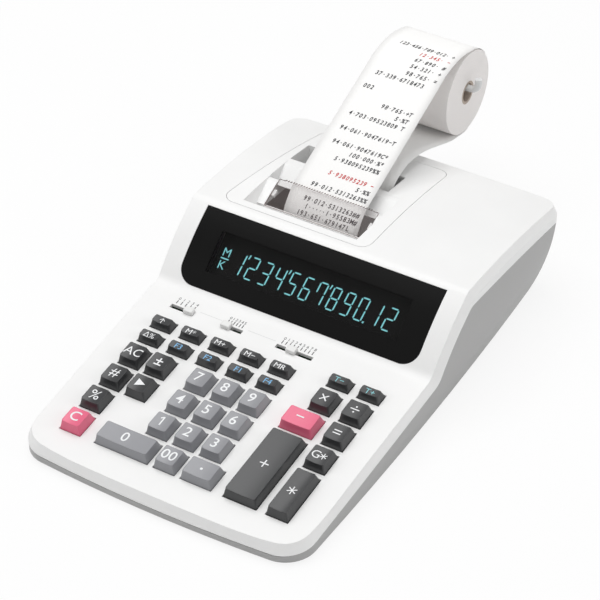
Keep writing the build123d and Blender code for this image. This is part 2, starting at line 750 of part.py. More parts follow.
# Rubber feet in shallow recesses
feet = []
foot_spots = [
    (half_front - FOOT_FRONT[0], front_y + FOOT_FRONT[1]),
    (half_rear - FOOT_REAR[0], REAR_Y - FOOT_REAR[1]),
]
for x, y in [(side * x, y) for x, y in foot_spots for side in (-1, 1)]:
    lower = lower - post(x, y, -FAR / 2, BASE_Z + FOOT_SINK, FOOT_R + FIT_GAP)
    foot = post(x, y, 0, BASE_Z + FOOT_SINK, FOOT_R)
    feet.append(fillet(foot.edges().group_by(Axis.Z)[0], FOOT_ROUND))
save("rubber_feet", Compound(children=feet))

# Socket for the roll holder in the rear wall
socket_x = (ROD_X - SOCKET_HALF, ROD_X + SOCKET_HALF)
socket = box(*socket_x, ROD_IN_Y - SOCKET_IN, REAR_Y, ROD_LOW_Z - SOCKET_HALF, ROD_LOW_Z + SOCKET_HALF)
lower = lower + (socket & tub_block) - rod_y(ROD_X, ROD_IN_Y, FAR, ROD_LOW_Z, ROD_R + RUN_GAP)

# Cord gland in a flat pocket of the rear wall
gland_x = half_rear - GLAND_SIDE
pocket_y = REAR_Y - GLAND_SINK
gland_in = pocket_y - 2 * WALL
rim = GLAND_R + GLAND_RIM
gland_seat = box(gland_x - rim, gland_x + rim, gland_in, pocket_y, BASE_Z, GLAND_Z + rim)
lower = lower + (gland_seat & tub_block)
lower = lower - rod_y(gland_x, pocket_y, FAR, GLAND_Z, GLAND_R + FIT_GAP)
lower = lower - rod_y(gland_x, gland_in - WALL, pocket_y, GLAND_Z, GLAND_NECK_R + FIT_GAP)
gland = rod_y(gland_x, pocket_y, pocket_y + GLAND_FLANGE, GLAND_Z, GLAND_R)
gland = fillet(gland.edges().group_by(Axis.Y)[-1], GLAND_ROUND)
gland = gland + rod_y(gland_x, gland_in - GLAND_END, pocket_y, GLAND_Z, GLAND_NECK_R)
gland = gland - rod_y(gland_x, gland_in - FAR / 8, FAR, GLAND_Z, GLAND_BORE_R)
save("cord_gland", gland)

# Power transformer: laminated core, winding and two fixing tabs on the floor
trafo_x = half_rear - TRAFO_SIDE
core_x = (trafo_x - TRAFO_W / 2, trafo_x + TRAFO_W / 2)
core_top = floor_z + TRAFO_H
iron = box(*core_x, TRAFO_Y - TRAFO_D / 4, TRAFO_Y + TRAFO_D / 4, floor_z, core_top)
coil_x = (core_x[0] + TRAFO_LEG, core_x[1] - TRAFO_LEG)
coil_y = (TRAFO_Y - TRAFO_D / 2, TRAFO_Y + TRAFO_D / 2)
winding = box(*coil_x, *coil_y, floor_z + TRAFO_YOKE, core_top - TRAFO_YOKE)
winding = fillet(winding.edges().filter_by(Axis.Z), TRAFO_ROUND)
tabs = box(core_x[0] - TAB_L, core_x[1] + TAB_L, TRAFO_Y - TAB_L, TRAFO_Y + TAB_L, floor_z, floor_z + TAB_T)
save("power_transformer", iron + winding + tabs)

# Printer frame: two side plates on a base plate, on posts of the tub
frame_x0 = PAPER_X - FRAME_HALF
frame_x1 = PAPER_X + FRAME_HALF
frame_low = FRAME_Z - FRAME_T
side_pts = [
    (FRAME_FRONT_Y, frame_low),
    (FRAME_REAR_Y, frame_low),
    (FRAME_REAR_Y, FRAME_TOP_Z),
    (FRAME_FRONT_Y + FRAME_CUT[0], FRAME_TOP_Z),
    (FRAME_FRONT_Y, FRAME_TOP_Z - FRAME_CUT[1]),
]
plate = extrude(Plane.YZ * make_face(Polyline(*side_pts, close=True)), FRAME_T)
printer_frame = Pos(frame_x0, 0, 0) * plate + Pos(frame_x1 - FRAME_T, 0, 0) * plate
printer_frame = printer_frame + box(frame_x0, frame_x1, FRAME_FRONT_Y, FRAME_REAR_Y, frame_low, FRAME_Z)
for y, z in ((PLATEN_Y, PLATEN_Z), (DRUM_Y, PLATEN_Z), (INK_Y, INK_Z)):
    printer_frame = printer_frame - rod_x(frame_x0 - 1, frame_x1 + 1, y, z, SHAFT_R + RUN_GAP)
save("printer_frame", printer_frame)
for x in (frame_x0 + POST_IN, frame_x1 - POST_IN):
    for y in (FRAME_FRONT_Y + POST_IN, FRAME_REAR_Y - POST_IN):
        lower = lower + post(x, y, BASE_Z, frame_low, BOSS_R)
save("lower_housing", lower)


# Rollers between the plates: body, hub and shaft
def roller(length, y, z, r, right_end):
    hub_x = (frame_x0 + FRAME_T + FIT_GAP, frame_x1 - FRAME_T - FIT_GAP)
    body = rod_x(PAPER_X - length / 2, PAPER_X + length / 2, y, z, r) + rod_x(*hub_x, y, z, SHAFT_R + HUB)
    return body + rod_x(frame_x0 - SHAFT_END, right_end, y, z, SHAFT_R)


plain_end = frame_x1 + SHAFT_END
motor_end = frame_x1 + MOTOR_L
shaft_end = frame_x1 + MOTOR_L / 2
save("platen_roller", roller(PAPER_W, PLATEN_Y, PLATEN_Z, PLATEN_R, plain_end))
ink_r = math.dist((DRUM_Y, PLATEN_Z), (INK_Y, INK_Z)) - DRUM_R - INK_GAP
save("ink_roller", roller(DRUM_L, INK_Y, INK_Z, ink_r, plain_end))

# Print drum with raised figure rings, and the motor on its shaft
drum = roller(DRUM_L, DRUM_Y, PLATEN_Z, DRUM_R - DRUM_RELIEF, shaft_end)
ring_pitch = DRUM_L / DRUM_RINGS
ring_half = ring_pitch * RING_SHARE / 2
for i in range(DRUM_RINGS):
    x = PAPER_X - DRUM_L / 2 + (i + 0.5) * ring_pitch
    drum = drum + rod_x(x - ring_half, x + ring_half, DRUM_Y, PLATEN_Z, DRUM_R)
save("print_drum", drum)
motor = rod_x(frame_x1, motor_end, DRUM_Y, PLATEN_Z, MOTOR_R)
motor = fillet(motor.edges().group_by(Axis.X)[-1], MOTOR_ROUND)
motor = motor - rod_x(frame_x1 - 1, shaft_end + FIT_GAP, DRUM_Y, PLATEN_Z, SHAFT_R + RUN_GAP)
save("drive_motor", motor)

# Paper roll on its cardboard core
roll_x0 = PAPER_X - PAPER_W / 2
roll_x1 = PAPER_X + PAPER_W / 2


def wound(r_out, r_in):
    bore = rod_x(roll_x0 - 1, roll_x1 + 1, ROLL_Y, ROLL_Z, r_in)
    return rod_x(roll_x0, roll_x1, ROLL_Y, ROLL_Z, r_out) - bore


save("paper_roll", Compound(children=[wound(ROLL_R, CORE_R), wound(CORE_R, CORE_BORE_R)]))

# Roll holder: bent rod that hangs the roll by its core
rod_z = ROLL_Z + CORE_BORE_R - ROD_GAP - ROD_R
rod_path = FilletPolyline(
    (ROD_X, ROD_IN_Y, ROD_LOW_Z),
    (ROD_X, ROD_BEND_Y, ROD_LOW_Z),
    (ROD_X, ROLL_Y, rod_z),
    (ROD_END_X, ROLL_Y, rod_z),
    (ROD_END_X, ROLL_Y, rod_z + ROD_TIP),
    radius=ROD_BEND_R,
)
rod_start = Plane(origin=(ROD_X, ROD_IN_Y, ROD_LOW_Z), z_dir=(0, 1, 0))
save("roll_holder", sweep(rod_start * Circle(ROD_R), path=rod_path))


# Paper web: tail over the roll, tear edge, print line, platen, inlet, underside of the roll
def around(y, z, r, start, stop, count):
    turns = [math.radians(start + (stop - start) * i / (count - 1)) for i in range(count)]
    return [(y + r * math.cos(t), z + r * math.sin(t)) for t in turns]


def straight(a, b, count):
    return [(a[0] + (b[0] - a[0]) * i / count, a[1] + (b[1] - a[1]) * i / count) for i in range(1, count)]


web_pts = around(ROLL_Y, ROLL_Z, ROLL_R + 2 * WEB_OFF, TAIL_TURN, TAIL_LIFT, 6) + TAIL_BOW
web_pts = web_pts + straight(TAIL_BOW[-1], TAIL_LOW, 7) + [TAIL_LOW] + PRINT_RUN
web_pts = web_pts + around(PLATEN_Y, PLATEN_Z, PLATEN_R + WEB_OFF, 180, PLATEN_TURN, 6) + INLET_RUN
web_pts = web_pts + around(ROLL_Y, ROLL_Z, ROLL_R + WEB_OFF, *FEED_TURN, 3)
web_line = Spline(*web_pts)
steps = 12 * len(web_pts)


def web_side(push):
    pts = []
    for i in range(steps + 1):
        p = web_line @ (i / steps)
        t = web_line % (i / steps)
        pts.append((p.X - t.Y * push, p.Y + t.X * push))
    return pts


over = web_side(PAPER_T / 2)
under = web_side(-PAPER_T / 2)
ends = [Line(over[0], under[0]), Line(over[-1], under[-1])]
web_face = make_face([Spline(*over), ends[1], Spline(*under), ends[0]])
save("paper_web", Pos(roll_x0, 0, 0) * extrude(Plane.YZ * web_face, PAPER_W))
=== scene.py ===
import bmesh
import bpy
import math
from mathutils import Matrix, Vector
from mathutils.bvhtree import BVHTree


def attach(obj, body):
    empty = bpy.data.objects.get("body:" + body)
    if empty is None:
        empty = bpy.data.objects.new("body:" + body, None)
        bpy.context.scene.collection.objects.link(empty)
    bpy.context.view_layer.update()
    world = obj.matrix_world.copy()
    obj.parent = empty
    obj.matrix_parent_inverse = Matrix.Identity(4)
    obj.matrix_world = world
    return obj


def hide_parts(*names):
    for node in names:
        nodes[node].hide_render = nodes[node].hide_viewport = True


# Looks of the desk calculator: finishes, legends, display figures, paper, light and camera
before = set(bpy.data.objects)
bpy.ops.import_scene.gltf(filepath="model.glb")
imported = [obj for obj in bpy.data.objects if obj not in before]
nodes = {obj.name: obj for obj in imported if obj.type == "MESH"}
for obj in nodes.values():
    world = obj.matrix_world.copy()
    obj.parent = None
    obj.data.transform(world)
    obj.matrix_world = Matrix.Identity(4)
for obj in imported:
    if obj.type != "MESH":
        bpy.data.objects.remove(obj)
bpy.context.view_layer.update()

# Driving places in millimetres: y is counted from the front line of the key row with the 1
MM = 0.001
MID_Y = 168.7
PANEL_TILT = math.radians(7.67)
PANEL_Z = 19.3
KINK = (119.5, 35.393)
CREST = (165.2, 75.7)
TUBE_W = -5.9
SWITCH_V = 102.4
PAPER_X = -25.4
PAPER_W = 57.0
PAPER_T = 0.12
ROLL = (350.0, 90.6)
ROLL_R = 31.0
CORE_R = 8.6
CORE_BORE_R = 6.6
PLATEN = (205.6, 44.0)
PLATEN_R = 8.0
VIEW_HALF_W = 72.0
VIEW_MID = 29.5
VIEW_HALF_H = 14.5
CUT_NORMAL = (0, -0.423, 0.906)


def spot(x, y, z):
    return Vector((x, y - MID_Y, z)) * MM


def corners(u0, u1, v0, v1):
    return [(u0, v0), (u1, v0), (u1, v1), (u0, v1)]


# Local frames: key panel and display slope
class Frame:
    def __init__(self, origin, up_y, up_z):
        self.origin = origin
        self.x = Vector((1, 0, 0))
        self.y = Vector((0, up_y, up_z))
        self.z = Vector((0, -up_z, up_y))

    def point(self, u, v, w):
        return self.origin + (self.x * u + self.y * v + self.z * w) * MM

    def local(self, p):
        d = (p - self.origin) / MM
        return d.dot(self.x), d.dot(self.y), d.dot(self.z)


panel = Frame(spot(0, 0, PANEL_Z), math.cos(PANEL_TILT), math.sin(PANEL_TILT))
slope_run = math.dist(KINK, CREST)
slope = Frame(spot(0, *KINK), (CREST[0] - KINK[0]) / slope_run, (CREST[1] - KINK[1]) / slope_run)


# Materials
def shader(name, color, rough, spec=0.5):
    mat = bpy.data.materials.new(name)
    mat.use_nodes = True
    bsdf = mat.node_tree.nodes["Principled BSDF"]
    bsdf.inputs["Base Color"].default_value = (*color, 1)
    bsdf.inputs["Roughness"].default_value = rough
    bsdf.inputs["Specular IOR Level"].default_value = spec
    return mat, bsdf


def add(mat, kind, **values):
    node = mat.node_tree.nodes.new(kind)
    for key, value in values.items():
        if key in node.inputs:
            node.inputs[key].default_value = value
        else:
            setattr(node, key, value)
    return node


def wire(mat, a, b):
    mat.node_tree.links.new(a, b)


def place(mat):
    return add(mat, "ShaderNodeTexCoord").outputs["Object"]


def tint(mat, factor, low, high):
    mix = add(mat, "ShaderNodeMix", data_type="RGBA")
    mix.inputs[6].default_value = (*low, 1)
    mix.inputs[7].default_value = (*high, 1)
    wire(mat, factor, mix.inputs[0])
    return mix.outputs[2]


def shade(color, factor):
    return tuple(min(1, c * factor) for c in color)


def moulded(name, color, rough, grain=0.5, bump=0.06, soft=0.35, mottle=0.03):
    mat, bsdf = shader(name, color, rough)
    where = place(mat)
    cloud = add(mat, "ShaderNodeTexNoise", Scale=28.0, Detail=4.0)
    wire(mat, where, cloud.inputs["Vector"])
    fine = add(mat, "ShaderNodeTexNoise", Scale=1.0 / (grain * MM), Detail=2.0)
    wire(mat, where, fine.inputs["Vector"])
    hue = tint(mat, cloud.outputs[0], shade(color, 1 - mottle), shade(color, 1 + mottle))
    wire(mat, hue, bsdf.inputs["Base Color"])
    gloss = add(mat, "ShaderNodeMapRange")
    gloss.inputs[3].default_value = rough * 0.9
    gloss.inputs[4].default_value = rough * 1.1
    wire(mat, cloud.outputs[0], gloss.inputs[0])
    wire(mat, gloss.outputs[0], bsdf.inputs["Roughness"])
    edge = add(mat, "ShaderNodeBevel", samples=4, Radius=soft * MM)
    relief = add(mat, "ShaderNodeBump", Strength=bump, Distance=0.1 * MM)
    wire(mat, fine.outputs[0], relief.inputs["Height"])
    wire(mat, edge.outputs[0], relief.inputs["Normal"])
    wire(mat, relief.outputs[0], bsdf.inputs["Normal"])
    return mat


def metal(name, color, rough, streak=(4.0, 900.0, 900.0)):
    mat, bsdf = shader(name, color, rough)
    bsdf.inputs["Metallic"].default_value = 1.0
    stretch = add(mat, "ShaderNodeMapping")
    stretch.inputs["Scale"].default_value = streak
    wire(mat, place(mat), stretch.inputs["Vector"])
    lines = add(mat, "ShaderNodeTexNoise", Scale=1.0, Detail=3.0)
    wire(mat, stretch.outputs[0], lines.inputs["Vector"])
    wire(mat, tint(mat, lines.outputs[0], shade(color, 0.85), shade(color, 1.1)), bsdf.inputs["Base Color"])
    relief = add(mat, "ShaderNodeBump", Strength=0.08, Distance=0.05 * MM)
    wire(mat, lines.outputs[0], relief.inputs["Height"])
    wire(mat, relief.outputs[0], bsdf.inputs["Normal"])
    return mat


def paper(name, color):
    mat, bsdf = shader(name, color, 0.75, 0.25)
    where = place(mat)
    fibre = add(mat, "ShaderNodeTexNoise", Scale=1800.0, Detail=5.0)
    wire(mat, where, fibre.inputs["Vector"])
    wire(mat, tint(mat, fibre.outputs[0], shade(color, 0.97), shade(color, 1.02)), bsdf.inputs["Base Color"])
    relief = add(mat, "ShaderNodeBump", Strength=0.05, Distance=0.05 * MM)
    wire(mat, fibre.outputs[0], relief.inputs["Height"])
    wire(mat, relief.outputs[0], bsdf.inputs["Normal"])
    return mat


def wound(name, color, pitch):
    mat, bsdf = shader(name, color, 0.8, 0.2)
    where = place(mat)
    shift = add(mat, "ShaderNodeVectorMath", operation="SUBTRACT")
    shift.inputs[1].default_value = spot(0, *ROLL)
    wire(mat, where, shift.inputs[0])
    flat = add(mat, "ShaderNodeVectorMath", operation="MULTIPLY")
    flat.inputs[1].default_value = (0, 1, 1)
    wire(mat, shift.outputs[0], flat.inputs[0])
    far = add(mat, "ShaderNodeVectorMath", operation="LENGTH")
    wire(mat, flat.outputs[0], far.inputs[0])
    layers = add(mat, "ShaderNodeTexNoise", noise_dimensions="1D", Scale=1.0, Detail=4.0)
    turns = add(mat, "ShaderNodeMath", operation="MULTIPLY")
    turns.inputs[1].default_value = 1.0 / (pitch * MM)
    wire(mat, far.outputs["Value"], turns.inputs[0])
    wire(mat, turns.outputs[0], layers.inputs["W"])
    wire(mat, tint(mat, layers.outputs[0], shade(color, 0.9), shade(color, 1.04)), bsdf.inputs["Base Color"])
    relief = add(mat, "ShaderNodeBump", Strength=0.25, Distance=0.1 * MM)
    wire(mat, layers.outputs[0], relief.inputs["Height"])
    wire(mat, relief.outputs[0], bsdf.inputs["Normal"])
    return mat


def printed(name, color, rough=0.5):
    mat, bsdf = shader(name, color, rough, 0.3)
    ink = add(mat, "ShaderNodeTexNoise", Scale=2600.0, Detail=3.0)
    wire(mat, place(mat), ink.inputs["Vector"])
    wire(mat, tint(mat, ink.outputs[0], shade(color, 0.9), shade(color, 1.1)), bsdf.inputs["Base Color"])
    return mat


def tinted(name, color, alpha, rough, spec=0.5):
    mat, bsdf = shader(name, color, rough, spec)
    bsdf.inputs["Alpha"].default_value = alpha
    smear = add(mat, "ShaderNodeTexNoise", Scale=60.0, Detail=3.0)
    wire(mat, place(mat), smear.inputs["Vector"])
    gloss = add(mat, "ShaderNodeMapRange")
    gloss.inputs[3].default_value = rough
    gloss.inputs[4].default_value = rough + 0.06
    wire(mat, smear.outputs[0], gloss.inputs[0])
    wire(mat, gloss.outputs[0], bsdf.inputs["Roughness"])
    return mat


def share(mat, factor, low, high, socket):
    scale = add(mat, "ShaderNodeMapRange")
    scale.inputs[3].default_value = low
    scale.inputs[4].default_value = high
    wire(mat, factor, scale.inputs[0])
    wire(mat, scale.outputs[0], mat.node_tree.nodes["Principled BSDF"].inputs[socket])
    return mat


def along(mat, vector, way):
    dot = add(mat, "ShaderNodeVectorMath", operation="DOT_PRODUCT")
    dot.inputs[1].default_value = way
    wire(mat, vector, dot.inputs[0])
    return dot.outputs["Value"]


def near(mat, value, middle_at, reach):
    test = add(mat, "ShaderNodeMath", operation="COMPARE")
    test.inputs[1].default_value = middle_at
    test.inputs[2].default_value = reach
    wire(mat, value, test.inputs[0])
    return test.outputs[0]


# Dark window: black border, smoked only in front of the tube
def window_look(name):
    mat = tinted(name, (0.0105, 0.0105, 0.0105), 1.0, 0.2, 0.12)
    where = place(mat)
    base = slope.origin.dot(slope.y)
    wide = near(mat, along(mat, where, (1, 0, 0)), 0.0, VIEW_HALF_W * MM)
    high = near(mat, along(mat, where, slope.y), base + VIEW_MID * MM, VIEW_HALF_H * MM)
    both = add(mat, "ShaderNodeMath", operation="MULTIPLY")
    wire(mat, wide, both.inputs[0])
    wire(mat, high, both.inputs[1])
    share(mat, both.outputs[0], 0.03, 0.1, "Specular IOR Level")
    return share(mat, both.outputs[0], 1.0, 0.3, "Alpha")


# Smoked plate: faint through its faces, dark at its edges
def plate_look(name):
    mat = tinted(name, (0.36, 0.29, 0.28), 1.0, 0.12)
    facing = add(mat, "ShaderNodeNewGeometry").outputs["True Normal"]
    turned = add(mat, "ShaderNodeMath", operation="ABSOLUTE")
    wire(mat, along(mat, facing, CUT_NORMAL), turned.inputs[0])
    return share(mat, turned.outputs[0], 0.9, 0.085, "Alpha")


def glowing(name, color, strength):
    mat, bsdf = shader(name, color, 0.4)
    bsdf.inputs["Emission Color"].default_value = (*color, 1)
    bsdf.inputs["Emission Strength"].default_value = strength
    mesh = add(mat, "ShaderNodeTexNoise", Scale=900.0, Detail=1.0)
    wire(mat, place(mat), mesh.inputs["Vector"])
    wire(mat, tint(mat, mesh.outputs[0], shade(color, 0.9), shade(color, 1.05)), bsdf.inputs["Base Color"])
    return mat


WHITE = (0.87, 0.87, 0.865)
looks = {
    "upper_housing": moulded("housing_white", WHITE, 0.38),
    "lower_housing": moulded("housing_grey", (0.395, 0.393, 0.391), 0.45, 0.7, 0.12),
    "printer_cover": moulded("cover_white", (0.88, 0.88, 0.875), 0.4),
    "paper_cutter": plate_look("smoked_clear"),
    "display_window": window_look("window_dark"),
    "display_tube": moulded("tube_dark", (0.012, 0.012, 0.012), 0.9, 0.5, 0.0),
    "roll_holder": moulded("rod_white", (0.75, 0.76, 0.76), 0.25, 0.5, 0.03),
    "printer_frame": metal("frame_steel", (0.4, 0.4, 0.41), 0.4),
    "platen_roller": moulded("rubber_black", (0.02, 0.02, 0.02), 0.7, 0.3, 0.2),
    "print_drum": moulded("drum_dark", (0.05, 0.05, 0.055), 0.5),
    "ink_roller": moulded("ink_felt", (0.05, 0.015, 0.06), 0.9, 0.3, 0.6),
    "drive_motor": metal("motor_steel", (0.5, 0.5, 0.5), 0.35),
    "main_board": moulded("board_green", (0.02, 0.12, 0.04), 0.5),
    "key_mat": moulded("mat_rubber", (0.3, 0.3, 0.3), 0.7),
    "power_transformer": moulded("iron_dark", (0.1, 0.09, 0.08), 0.6),
    "cord_gland": moulded("gland_black", (0.02, 0.02, 0.02), 0.6),
    "rubber_feet": moulded("foot_rubber", (0.03, 0.03, 0.03), 0.8, 0.4, 0.3),
    "case_screws": metal("screw_steel", (0.25, 0.25, 0.25), 0.4),
}
key_grey = moulded("key_grey", (0.29, 0.293, 0.312), 0.24, 0.35, 0.08, 0.7)
key_dark = moulded("key_charcoal", (0.04, 0.041, 0.043), 0.24, 0.35, 0.08, 0.7)
key_pink = moulded("key_pink", (0.8, 0.145, 0.25), 0.24, 0.35, 0.08, 0.7)
switch_white = moulded("switch_white", (0.8, 0.8, 0.79), 0.4, 0.4, 0.05, 0.4)
for node, obj in nodes.items():
    look = looks.get(node)
    if node.startswith("key_"):
        grey = node[4:].isdigit() or node == "key_point"
        look = look or (key_pink if node in ("key_c", "key_minus") else key_grey if grey else key_dark)
    if node.startswith("switch_"):
        look = switch_white
    if look:
        obj.data.materials.clear()
        obj.data.materials.append(look)


# Meshes from points and faces, in metres
def piece(name, points, faces, mat, body, smooth=False):
    mesh = bpy.data.meshes.new(name)
    mesh.from_pydata(points, [], faces)
    mesh.update()
    mesh.materials.append(mat)
    obj = bpy.data.objects.new(name, mesh)
    bpy.context.scene.collection.objects.link(obj)
    for face in mesh.polygons:
        face.use_smooth = smooth
    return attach(obj, body)


# Flat lettering outlines: triangles in units of the capital height
def letters(text, shear=0.0, bold=0.0, align="CENTER", spacing=1.0):
    curve = bpy.data.curves.new("letters", "FONT")
    curve.body = text
    curve.align_x = align
    curve.shear = shear
    curve.offset = bold
    curve.space_character = spacing
    curve.resolution_u = 4
    obj = bpy.data.objects.new("letters", curve)
    bpy.context.scene.collection.objects.link(obj)
    bpy.context.view_layer.update()
    mesh = bpy.data.meshes.new_from_object(obj.evaluated_get(bpy.context.evaluated_depsgraph_get()))
    work = bmesh.new()
    work.from_mesh(mesh)
    bmesh.ops.triangulate(work, faces=work.faces[:])
    work.verts.ensure_lookup_table()
    points = [(v.co.x / CAP, v.co.y / CAP) for v in work.verts]
    faces = [[v.index for v in f.verts] for f in work.faces]
    work.free()
    bpy.data.objects.remove(obj)
    bpy.data.curves.remove(curve)
    bpy.data.meshes.remove(mesh)
    return points, faces


# Height of a capital in the font's own units, measured once at a scale of 1
CAP = 1.0
CAP = max(p[1] for p in letters("H")[0])


def middle(points):
    xs = [p[0] for p in points]
    ys = [p[1] for p in points]
    return (min(xs) + max(xs)) / 2, (min(ys) + max(ys)) / 2


# Key legends lie on the dished key tops
INK_LIFT = 0.05
TOP_BAND = 0.6
CAST_FROM = 30.0
white_ink = printed("legend_white", (0.85, 0.86, 0.87))
blue_ink = printed("legend_blue", (0.22, 0.5, 0.8))
teal_ink = printed("legend_teal", (0.25, 0.58, 0.62))


def key_top(node):
    mesh = nodes[node].data
    local = [panel.local(v.co) for v in mesh.vertices]
    high = max(p[2] for p in local)
    top = [p for p in local if p[2] > high - TOP_BAND]
    tree = BVHTree.FromPolygons([v.co for v in mesh.vertices], [p.vertices for p in mesh.polygons])
    return middle(top), tree


def lay(name, node, outline, faces, mat, du, dv, lift):
    (u, v), tree = key_top(node)
    laid = []
    for x, y in outline:
        hit = tree.ray_cast(panel.point(u + du + x, v + dv + y, CAST_FROM), -panel.z)[0]
        laid.append(hit + panel.z * lift * MM)
    return piece(name, laid, faces, mat, node + "_cap")


def legend(node, text, height, mat=white_ink, du=0.0, dv=0.0, bold=0.008):
    points, faces = letters(text, bold=bold)
    cu, cv = middle(points)
    outline = [((x - cu) * height, (y - cv) * height) for x, y in points]
    return lay("legend_" + node, node, outline, faces, mat, du, dv, INK_LIFT)


# Calculator signs drawn from bars (middle, length, turn) and dots (middle, radius)
STROKE = 0.85
DOT_SIDES = 20


def sign(node, bars, dots=(), du=0.0, dv=0.0, stroke=STROKE, tag=""):
    outline = []
    faces = []
    for (x, y), length, turn in bars:
        d = Vector((math.cos(math.radians(turn)), math.sin(math.radians(turn))))
        n = Vector((-d.y, d.x))
        faces.append([len(outline) + k for k in range(4)])
        for a, b in corners(-1, 1, -1, 1):
            p = Vector((x, y)) + d * a * length / 2 + n * b * stroke / 2
            outline.append((p.x, p.y))
    for (x, y), r in dots:
        turns = [2 * math.pi * k / DOT_SIDES for k in range(DOT_SIDES)]
        faces.append([len(outline) + k for k in range(DOT_SIDES)])
        outline = outline + [(x + r * math.cos(t), y + r * math.sin(t)) for t in turns]
    return lay("legend_" + node + tag, node, outline, faces, white_ink, du, dv, 2 * INK_LIFT)


DIGIT_H = 7.2
DIGIT_AT = {"du": -0.8, "dv": 0.5}
WIDE_STROKE = 1.0
for n in range(2, 10):
    legend("key_%d" % n, str(n), DIGIT_H, **DIGIT_AT)
sign("key_1", [((0.5, 0), DIGIT_H, 90), ((-0.45, 2.65), 2.7, 38)], stroke=WIDE_STROKE, **DIGIT_AT)
legend("key_0", "0", DIGIT_H, du=-1.2, dv=0.3)
legend("key_00", "00", DIGIT_H, du=-0.4, dv=0.4)
sign("key_point", [], [((0, 0), 0.95)])
sign("key_plus", [((0, 0), 6.0, 0), ((0, 0), 6.0, 90)])
sign("key_minus", [((0, 0), 5.4, 0)], du=-0.8, dv=0.8, stroke=WIDE_STROKE)
sign("key_times", [((0, 0), 6.6, 45), ((0, 0), 6.6, -45)])
sign("key_divide", [((0, 0), 6.2, 0)], [((0, 2.3), 0.65), ((0, -2.3), 0.65)])
sign("key_equals", [((0, 1.2), 5.4, 0), ((0, -1.2), 5.4, 0)])
STAR_TURNS = (90, 30, -30)
sign("key_total", [((0, 0), 6.4, turn) for turn in STAR_TURNS], stroke=0.7)
legend("key_grand", "G", 5.8, du=-2.4, bold=0.0)
sign("key_grand", [((0, 0), 5.0, turn) for turn in STAR_TURNS], du=2.8, stroke=0.6, tag="_star")
legend("key_percent", "%", 7.4, bold=0.0)
legend("key_subtotal", "#", 7.2, bold=0.0)
legend("key_clear_all", "AC", 6.4, bold=0.0)
legend("key_markup", "±", 7.2)
legend("key_c", "C", 7.2, du=-0.6, dv=0.6)
SMALL_LETTER = 4.1
SMALL_DOWN = -0.5


def small_legend(node, text, mat):
    return legend(node, text, SMALL_LETTER, mat, dv=SMALL_DOWN, bold=0.0)


small_legend("key_tax_minus", "T−", teal_ink)
small_legend("key_tax_plus", "T+", teal_ink)
for i, text in enumerate(("↑", "M*", "M+", "M−", "MR")):
    small_legend("key_high_%d" % (i + 1), text, white_ink)
for i, text in enumerate(("Δ%", "F3", "F2", "F1", "F4")):
    small_legend("key_low_%d" % (i + 1), text, blue_ink if i else white_ink)
arrow = [(-2.9, 3.2), (-2.9, -3.2), (3.5, 0.0)]
lay("legend_key_shift", "key_shift", arrow, [(0, 1, 2)], white_ink, 0.0, 0.0, 3 * INK_LIFT)

# Display figures: slanted seven-segment bars on the face of the tube
GLYPH_W = 5.6
GLYPH_H = 15.2
GLYPH_PITCH = 10.38
GLYPH_LEFT = -58.6
GLYPH_LOW = 20.2
BAR = 0.95
BAR_GAP = 0.12
TIP_SHARE = 0.5
SHOULDER_SHARE = 0.8
SLANT = 0.085
SEGMENTS = {
    "a": ((0, 1), (1, 1)), "b": ((1, 1), (1, 0.5)), "c": ((1, 0.5), (1, 0)), "d": ((0, 0), (1, 0)),
    "e": ((0, 0.5), (0, 0)), "f": ((0, 1), (0, 0.5)), "g": ((0, 0.5), (1, 0.5)),
}
FIGURES = {
    "0": "abcdef", "1": "bc", "2": "abged", "3": "abgcd", "4": "fgbc",
    "5": "afgcd", "6": "afgedc", "7": "fabc", "8": "abcdefg", "9": "gfabcd",
}
SHOWN = "123456789012"
MARK_AFTER = (0, 3, 6)
MARK = ((1.6, -2.6), (2.4, -2.4), (2.9, 0.6), (1.9, 0.6))
POINT_AFTER = 9
POINT = corners(1.4, 2.6, -0.6, 0.6)
LETTER_BAR = corners(-70.0, -64.0, 27.5, 28.4)
LETTER_H = 5.6
glow_points = []
glow_faces = []


def glow(outline):
    first = len(glow_points)
    for u, s in outline:
        glow_points.append(slope.point(u + (s - GLYPH_LOW) * SLANT, s, TUBE_W + INK_LIFT))
    glow_faces.append(list(range(first, len(glow_points))))


def bar(a, b):
    a = Vector(a)
    b = Vector(b)
    d = (b - a).normalized()
    n = Vector((-d.y, d.x)) * BAR / 2
    tip = d * (BAR_GAP + BAR / 2) * TIP_SHARE
    shoulder = d * (BAR_GAP + BAR) * SHOULDER_SHARE
    glow([a + tip, a + shoulder - n, b - shoulder - n, b - tip, b - shoulder + n, a + shoulder + n])


for i, figure in enumerate(SHOWN):
    left = GLYPH_LEFT + i * GLYPH_PITCH
    for seg in FIGURES[figure]:
        (x0, y0), (x1, y1) = SEGMENTS[seg]
        a = (left + x0 * GLYPH_W, GLYPH_LOW + y0 * GLYPH_H)
        b = (left + x1 * GLYPH_W, GLYPH_LOW + y1 * GLYPH_H)
        bar(a, b)
    right = left + GLYPH_W
    if i in MARK_AFTER:
        glow([(right + x, GLYPH_LOW + GLYPH_H + y) for x, y in MARK])
    if i == POINT_AFTER:
        glow([(right + x, GLYPH_LOW + y) for x, y in POINT])
glow(LETTER_BAR)
cyan = glowing("display_glow", (0.28, 0.78, 0.84), 1.15)
piece("display_figures", glow_points, glow_faces, cyan, "housing")


def flat_text(name, text, place_frame, u, v, w, height, mat, body="housing", **style):
    points, faces = letters(text, **style)
    laid = [place_frame.point(u + x * height, v + y * height, w) for x, y in points]
    return piece(name, laid, faces, mat, body)


flat_text("display_m", "M", slope, -66.4, 29.6, TUBE_W + INK_LIFT, LETTER_H, cyan)
flat_text("display_k", "K", slope, -66.8, 20.6, TUBE_W + INK_LIFT, LETTER_H, cyan)

